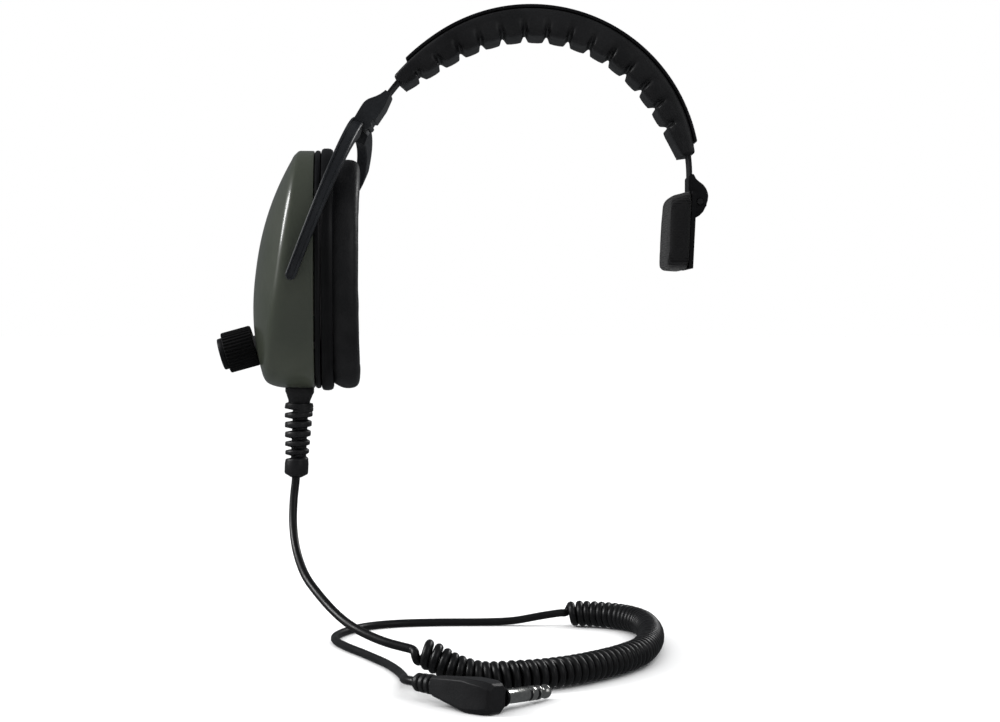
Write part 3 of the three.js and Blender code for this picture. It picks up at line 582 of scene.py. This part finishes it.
def make_relief():
    """Flange, cone and end collar, with slots that are deep on the outer side and shallow on the other."""
    rings, core = [], 2.9

    def ring(radius, station, tilt=0.0):
        found = []
        for k in range(64):
            angle = 2 * math.pi * k / 64
            reach = max(radius(angle) if callable(radius) else radius, 0.02)
            found.append((reach * math.cos(angle), reach * math.sin(angle), station + tilt * math.cos(angle)))
        rings.append(found)

    for radius, station in [(0, 5.0), (5.4, 5.0), (5.4, 3.9), (3.6, 3.9), (3.6, 0.5), (6.6, 0.5), (6.9, 0.1),
                            (6.9, -2.0), (6.4, -2.9), (5.2, -6.2), (5.2, -7.0)]:
        ring(radius, station)
    ring(6.5, -7.4, 0.2)
    for i, middle in enumerate((-10.7, -15.0, -19.7, -24.4, -28.6, -32.7)):
        reach = 6.9 - 0.24 * i
        right = 4.4 if i else reach

        def bottom(angle, reach=reach, right=right):
            share = (1 + math.cos(angle)) / 2
            if right < reach:
                return core + (right - core) * share**2
            return core + (reach - core) * min(1, 1.5 * share)

        for radius, station in [(reach, middle + 1.5), (reach - 0.2, middle + 1.1), (bottom, middle + 0.45),
                                (bottom, middle - 0.45), (reach - 0.5, middle - 1.1),
                                (reach - 0.25, middle - 1.5)]:
            ring(radius, station, 0.5)
    for radius, station, tilt in [(5.5, -34.9, 0.4), (5.7, -36.2, 0), (5.7, -40.6, 0), (5.4, -41.3, 0),
                                  (2.6, -42.9, 0), (0, -42.9, 0)]:
        ring(radius, station, tilt)
    return piece("cord_relief", *lofted(rings), RUBBER, "ear_cup", "rubber_black", ["strain_relief"],
                 RELIEF_PLACE, 40)


make_shell()
make_rims()
make_cushion()
make_speaker_foam()
make_knob()
relief = make_relief()

# ---- headband --------------------------------------------------------------------------------------

BAND_CENTRE, BAND_RADIUS = (83.2, 44.8), 76.0
BAND_STRETCHES = [(21.0, 0.0), (BAND_RADIUS * math.radians(123), math.radians(123)), (36.0, math.radians(20)),
                  (22.0, 0.0)]
BAND_LENGTH = sum(length for length, _ in BAND_STRETCHES)
PAD_FROM, PAD_TO = 30.5, BAND_LENGTH - 29.0
COVER_FROM, COVER_TO = PAD_FROM + 5.0, PAD_TO - 9.5
PAD_HALF_WIDTH = 16.0
NOTCH_COUNT, FIRST_NOTCH, NOTCH_PITCH, NOTCH_DEPTH = 14, 47.6, 12.0, 2.5


def band_point(along, offset=0.0):
    """A point at a length along the band's middle line, moved outwards by an offset."""
    x, z, heading, left = BAND_CENTRE[0] + BAND_RADIUS, BAND_CENTRE[1] - 21.0, math.pi / 2, along
    for length, turn in BAND_STRETCHES:
        share = min(left, length)
        bend = turn * share / length
        chord = 2 * math.sin(bend / 2) * share / bend if bend else share
        x += chord * math.cos(heading + bend / 2)
        z += chord * math.sin(heading + bend / 2)
        heading += bend
        left -= share
    return x + offset * math.sin(heading), z - offset * math.cos(heading)


def strip(start, end, inner, outer, step=2.0):
    count = math.ceil((end - start) / step)
    marks = [start + (end - start) * i / count for i in range(count + 1)]
    return [band_point(s, outer) for s in marks] + [band_point(s, inner) for s in reversed(marks)]


def pad_depth(along):
    out = abs(along - (PAD_FROM + PAD_TO) / 2) / ((PAD_TO - PAD_FROM) / 2)
    return 10.8 - 6.3 * out**5


def groove(along, width):
    """1 in the middle of the nearest notch, falling smoothly to 0 at this distance from it."""
    nearest = min(max(round((along - FIRST_NOTCH) / NOTCH_PITCH), 0), NOTCH_COUNT - 1)
    share = min(abs(along - FIRST_NOTCH - NOTCH_PITCH * nearest) / width, 1)
    return (1 - share * share) ** 2


def pad_ring(along):
    """One cross-section of the pad: flat back, bulging sides that dip at each notch, rounded teeth."""
    end = min(along - PAD_FROM, PAD_TO - along)
    shrink = 0.5 * max(0, 1 - end / 1.2) ** 2
    low = pad_depth(along) - shrink - NOTCH_DEPTH * groove(along, 2.2) - 0.4 * groove(along, 5)
    dip = 1.1 * groove(along, 2.4) + 0.3 * groove(along, 5)
    crease = 0.8 * groove(along, 3.4)
    half = PAD_HALF_WIDTH - shrink
    side = [(half - 1.6, 1.9 - shrink), (half - 0.5, 1.6 - shrink), (half, 0.7), (half - 0.1, -1.2),
            (half + 0.15 - crease * 0.2, -2.6), (half + 0.2 - crease, -4.2), (half + 0.1 - dip, -0.62 * low),
            (half - 0.3 - dip, -0.78 * low), (half - 1.2 - dip, -0.91 * low), (half - 2.9 - dip, -low + 0.1),
            (half - 5.5 - dip * 0.5, -low - 0.1)]
    ring = [(y, out) for y, out in side] + [(-y, out) for y, out in reversed(side)]
    return [(x, y, z) for y, out in ring for x, z in [band_point(along, out)]]


def make_headband():
    band = piece("band", *across(strip(0, BAND_LENGTH, -0.7, 0.7), 16), BAND_STEEL, "headband", "band_metal",
                 ["band_spring"], Matrix(), 20)
    rounded(band, 0.4, 2)
    count = 460
    rings = [pad_ring(PAD_FROM + (PAD_TO - PAD_FROM) * i / count) for i in range(count + 1)]
    pad = piece("toothed_pad", *lofted(rings), RUBBER, "headband", "rubber_black", ["headband_pad"],
                Matrix(), 60)
    cover = piece("cover_strip", *across(strip(COVER_FROM, COVER_TO, 2.15, 3.9), 30), BLACK, "headband",
                  "plastic_black", ["headband_cover"], Matrix(), 25)
    rounded(cover, 0.8, 3, 40)
    stop = piece("end_stop", *across(strip(BAND_LENGTH - 1.8, BAND_LENGTH, -3.2, -1.0), 12), STEEL,
                 "headband",
                 "steel", ["band_stop"], Matrix())
    rounded(stop, 0.3)


make_headband()

# ---- yoke ------------------------------------------------------------------------------------------


def yoke_arms():
    """The hoop as a swept section with a channel along its outer side."""
    rings = []
    for i in range(-42, 43):
        angle = math.pi / 2 * i / 42
        inner, outer = oval_radius(angle, 47.5, 71), oval_radius(angle, 51.5, 80)
        up = outer * math.cos(angle)
        thick = 4.8 + 1.4 * up / 80 * (1 if angle < 0.05 else 0.4)
        rings.append(yoke_section(angle, inner, outer, thick, 0))
    low = []
    for step in range(1, 7):
        drop = 2.9 * math.sin(math.pi / 2 * step / 6)
        low.append((drop, 5.0 * max(math.cos(math.pi / 2 * step / 6), 0.08)))
    first = [yoke_section(-math.pi / 2, 47.5, 51.5, thick, drop) for drop, thick in reversed(low)]
    last = [yoke_section(math.pi / 2, 47.5, 51.5, thick, drop) for drop, thick in low]
    return lofted(first + rings + last)


def yoke_section(angle, inner, outer, thick, drop):
    """One cross-section: (distance out, across the plane) corners with a shallow channel outside."""
    half, lip, sink = thick / 2, min(1.1, thick / 5), 0.8 if thick > 3 else 0.1
    corners = [(inner, -half + 0.5), (inner + 0.5, -half), (outer - 0.5, -half), (outer, -half + 0.4),
               (outer, -half + lip), (outer - sink, -half + lip + 0.3), (outer - sink, half - lip - 0.3),
               (outer, half - lip), (outer, half - 0.4), (outer - 0.5, half), (inner + 0.5, half),
               (inner, half - 0.5)]
    lean = min(max(outer * math.cos(angle), 0) / 60, 1) ** 2
    twist = 0.18 * lean * max(outer * math.sin(angle), 0)
    return [(n + twist, reach * math.sin(angle), reach * math.cos(angle) - drop) for reach, n in corners]


def make_yoke():
    arms = piece("yoke_arms", *yoke_arms(), SATIN, "yoke", "plastic_black", ["yoke_fork"], YOKE_PLACE, 30)
    top = BAND_LENGTH - 22.0
    side = [(0.4, 1.2), (1.6, 1.4), (3.4, 2), (5.4, 3), (7.2, 4.2), (8.8, 5.2), (10.3, 5.7), (11.8, 5.9),
            (14.5, 5.7), (17.3, 5.4), (21, 5), (23, 2.4), (21.5, -2.4), (18.5, -3.6), (17.4, -3.5),
            (17, -2.6), (15.4, -2.5), (14.8, -3.6), (7, -3.2), (3, -2.3), (0.4, -1.7)]
    hub = piece("yoke_hub", *across([band_point(top + down, out) for down, out in side], 26), SATIN, "yoke",
                "plastic_black", (), HUB_PLACE, 25)
    heading = math.pi / 2 + math.radians(143)
    (x, z), run, rise = band_point(top), math.cos(heading), math.sin(heading)
    along = HUB_PLACE @ Matrix(((run, 0, rise, x), (0, 1, 0, -YOKE_SHIFT), (rise, 0, -run, z), (0, 0, 0, 1)))
    for part in (arms, hub):
        carved(part, (-5, -10, -1.6), (40, 10, 1.6), along)
        carved(part, (19.6, -10, -9), (40, 10, 1), along)
    rounded(hub, 0.6, 3, 20)


make_yoke()

# ---- temple side -----------------------------------------------------------------------------------


def make_temple():
    drop = [(-5.4, 12), (-4, 13.2), (-2.7, 13.4), (-2.2, 12.2), (-1.4, 10.8), (0.2, 9.5), (1.8, 8.3),
            (3.1, 6.6), (3.9, 4.6), (4.2, 2.8), (3.9, 0.6), (3, -2.2), (1.8, -4.6), (-0.1, -6.5),
            (-2, -7.6), (-5.4, -8)]
    slider = piece("slider", *across(drop, 18), BLACK, "temple_carriage", "plastic_black", ["temple_slider"],
                   TEMPLE_PLACE, 25)
    rounded(slider, 0.9, 3, 20)


def make_temple_pad():
    """Foam pad in woven cloth: crowned sides, soft corners and a slanted top."""
    rings = []
    shape = [(-14.8, 0.86), (-15.2, 0.94), (-14.6, 0.985), (-12.5, 1.0), (-9.5, 1.0), (-7, 1.0),
             (-5.3, 0.995), (-5.1, 0.98)]
    for x, share in shape:
        ring = []
        top = 1.0 + (x + 14.8) * 4 / 9.5
        for k in range(64):
            angle = 2 * math.pi * k / 64
            c, s = math.cos(angle), math.sin(angle)
            reach = (abs(c) ** 7 + abs(s) ** 7) ** (-1 / 7)
            y = 25 * share * reach * s
            middle, half = (top - 33) / 2, (top + 33) / 2
            z = middle + half * (1 - (1 - share) * 25 / half) * reach * c
            ring.append((x, y, z))
        rings.append(ring)
    made = piece("temple_cloth", *lofted(rings), WEAVE, "temple_pad", "temple_fabric", ["temple_foam"],
                 PAD_PLACE, 50)
    carved(made, (-8.6, -9.7, -24.3), (0, 9.7, 20), PAD_PLACE)
    puffed(made, 0.8, lambda at: min(max((155.5 - at.x) / 5, 0), 1), 1.6)
    smooth = made.modifiers.new("smooth", "SUBSURF")
    smooth.levels = smooth.render_levels = 1


make_temple()
make_temple_pad()

# ---- jack ------------------------------------------------------------------------------------------


# Along the plug: station, half width, half height, and how much of each corner is cut off.
JACK_DROOP = 1.4
JACK_STATIONS = [(11.0, 4.0, 3.8, 1.3), (13.0, 4.5, 4.3, 1.0), (22.0, 5.6, 5.5, 1.0), (31.5, 6.9, 6.9, 1.2),
                 (34.5, 7.2, 7.1, 1.6), (41.5, 7.0, 7.0, 2.2), (44.7, 6.0, 6.3, 2.4), (46.0, 4.8, 5.3, 2.0)]


def jack_section(x, half_y, half_z, cut):
    corners = [(half_y, half_z - cut), (half_y - cut, half_z), (-half_y + cut, half_z),
               (-half_y, half_z - cut)]
    corners += [(y, -z) for y, z in reversed(corners)]
    return [(x, y, z - JACK_DROOP * min((x - 11) / 24, 1)) for y, z in corners]


def make_jack():
    boot = [(0, -0.2), (2.9, -0.2), (3.2, 0.2), (3.3, 0.9)]
    for i in range(3):
        start = 1.0 + 3.2 * i
        reach = 4.0 + 0.15 * i
        boot += [(reach - 0.3, start), (reach, start + 0.4), (reach, start + 1.8), (reach - 0.3, start + 2.2),
                 (3.0, start + 2.4), (3.0, start + 3.0)]
    boot += [(4.0, 10.7), (4.0, 11.2), (0, 11.2)]
    made = [piece("jack_boot", *turned(boot, 48), RUBBER, "ear_cup", "rubber_black", ["plug_boot"],
                  PLUG_PLACE)]
    body = piece("jack_body", *lofted([jack_section(*station) for station in JACK_STATIONS]), RUBBER,
                 "ear_cup",
                 "rubber_black", ["plug_body"], PLUG_PLACE, 30)
    rounded(body, 0.35, 2, 18)
    made.append(body)
    collar = [(3.4, 7.1), (4.0, 7.1), (4.2, 7.4), (4.2, 8.1), (3.9, 8.4), (3.4, 8.4)]
    sleeve = [(0, 7.3), (3.175, 7.3), (3.175, 23.0), (3.05, 23.2), (0, 23.2)]
    contact = [(0, 24.8), (3.05, 24.8), (3.175, 25.0), (3.175, 28.2), (3.05, 28.4), (0, 28.4)]
    tip = [(0, 30.0), (3.0, 30.0), (3.175, 30.3), (3.1, 31.4), (2.5, 32.4), (2.15, 33.2), (2.1, 34.0),
           (2.5, 34.9), (3.0, 35.6), (3.1, 36.2), (2.9, 37.0), (2.3, 38.0), (1.4, 38.9), (0.6, 39.2),
           (0, 39.2)]
    for name, profile, node, material, slot, loop in (
            ("jack_collar", collar, "plug_collar", BLACK, "plastic_black", True),
            ("jack_sleeve", sleeve, "plug_sleeve", NICKEL, "nickel", False),
            ("jack_ring", contact, "plug_ring", NICKEL, "nickel", False),
            ("jack_tip", tip, "plug_tip", NICKEL, "nickel", False),
            ("jack_insulator_1", [(0, 23.25), (3.1, 23.25), (3.1, 24.75), (0, 24.75)], "plug_insulator_1",
             BLACK,
             "plastic_black", False),
            ("jack_insulator_2", [(0, 28.45), (3.1, 28.45), (3.1, 29.95), (0, 29.95)], "plug_insulator_2",
             BLACK,
             "plastic_black", False)):
        made.append(piece(name, *turned(profile, 48, loop), material, "ear_cup", slot, [node], JACK_PLACE))
    return made


jack = make_jack()

# ---- carried-over CAD nodes ------------------------------------------------------------------------

CAD_FINISHES = {
    "baffle_plate": BLACK, "speaker_grille": BLACK, "speaker_frame": STEEL, "speaker_magnet": STEEL,
    "speaker_cone": PAPER, "potentiometer_body": STEEL, "potentiometer_nut": BRASS, "volume_shaft": STEEL,
    "pivot_pin_front": STEEL, "pivot_pin_back": STEEL, "terminal_board": BOARD, "temple_pin": BAND_STEEL,
    "temple_plate": BLACK,
    **{f"baffle_screw_{i}": STEEL for i in range(1, 5)},
}
for node, material in CAD_FINISHES.items():
    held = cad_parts[node]
    for place in held.material_slots:
        place.material = material

# ---- stage -----------------------------------------------------------------------------------------


def make_stage():
    """A wide pale floor that is as bright as the background wherever nothing shades it."""
    floor = bpy.data.meshes.new("floor")
    size, level = 12.0, -0.187
    floor.from_pydata([(-size, -size, level), (size, -size, level), (size, size, level),
                       (-size, size, level)], [],
                      [(0, 1, 2, 3)])
    made = bpy.data.objects.new("floor", floor)
    bpy.context.scene.collection.objects.link(made)
    pale = bpy.data.materials.new("floor_white")
    pale.use_nodes = True
    shader = pale.node_tree.nodes["Principled BSDF"]
    shader.inputs["Base Color"].default_value = (0.85, 0.85, 0.85, 1)
    shader.inputs["Roughness"].default_value = 1.0
    shader.inputs["Specular IOR Level"].default_value = 0.0
    floor.materials.append(pale)
    made.visible_glossy = False


def make_light(name, place, target, size, power):
    data = bpy.data.lights.new(name, "AREA")
    data.shape = "RECTANGLE"
    data.size, data.size_y = size
    data.energy = power
    made = bpy.data.objects.new(name, data)
    made.location = place
    made.rotation_euler = (Vector(target) - Vector(place)).to_track_quat("-Z", "Y").to_euler()
    made.visible_camera = False
    bpy.context.scene.collection.objects.link(made)


def make_overhead():
    """Even light from above, which whitens the whole floor alike."""
    data = bpy.data.lights.new("overhead", "SUN")
    data.energy = 3.6
    data.angle = math.radians(120)
    made = bpy.data.objects.new("overhead", data)
    made.rotation_euler = (math.radians(-12), math.radians(-8), 0)
    made.visible_glossy = False
    bpy.context.scene.collection.objects.link(made)


def make_world():
    """White behind the object, dimmer as a light, so that dark plastics keep their depth."""
    world = bpy.data.worlds.new("studio")
    bpy.context.scene.world = world
    world.use_nodes = True
    tree = world.node_tree
    seen, dim = tree.nodes["Background"], tree.nodes.new("ShaderNodeBackground")
    seen.inputs["Color"].default_value = (1, 1, 1, 1)
    dim.inputs["Color"].default_value = (0.92, 0.96, 1, 1)
    dim.inputs["Strength"].default_value = 0.12
    rays, mix = tree.nodes.new("ShaderNodeLightPath"), tree.nodes.new("ShaderNodeMixShader")
    tree.links.new(rays.outputs["Is Camera Ray"], mix.inputs["Fac"])
    tree.links.new(dim.outputs["Background"], mix.inputs[1])
    tree.links.new(seen.outputs["Background"], mix.inputs[2])
    tree.links.new(mix.outputs["Shader"], tree.nodes["World Output"].inputs["Surface"])


make_stage()
make_light("key", (-1.2, -0.1, 0.6), (-0.03, 0, 0.02), (0.35, 0.6), 12)
make_light("fill", (0.9, -0.9, 0.4), (0.05, 0, 0), (0.5, 0.8), 1.5)
make_light("rim", (0.6, 0.5, 0.3), (0.07, -0.08, -0.17), (0.4, 0.15), 1.6)
make_overhead()
make_world()
bpy.context.scene.view_settings.view_transform = "Standard"
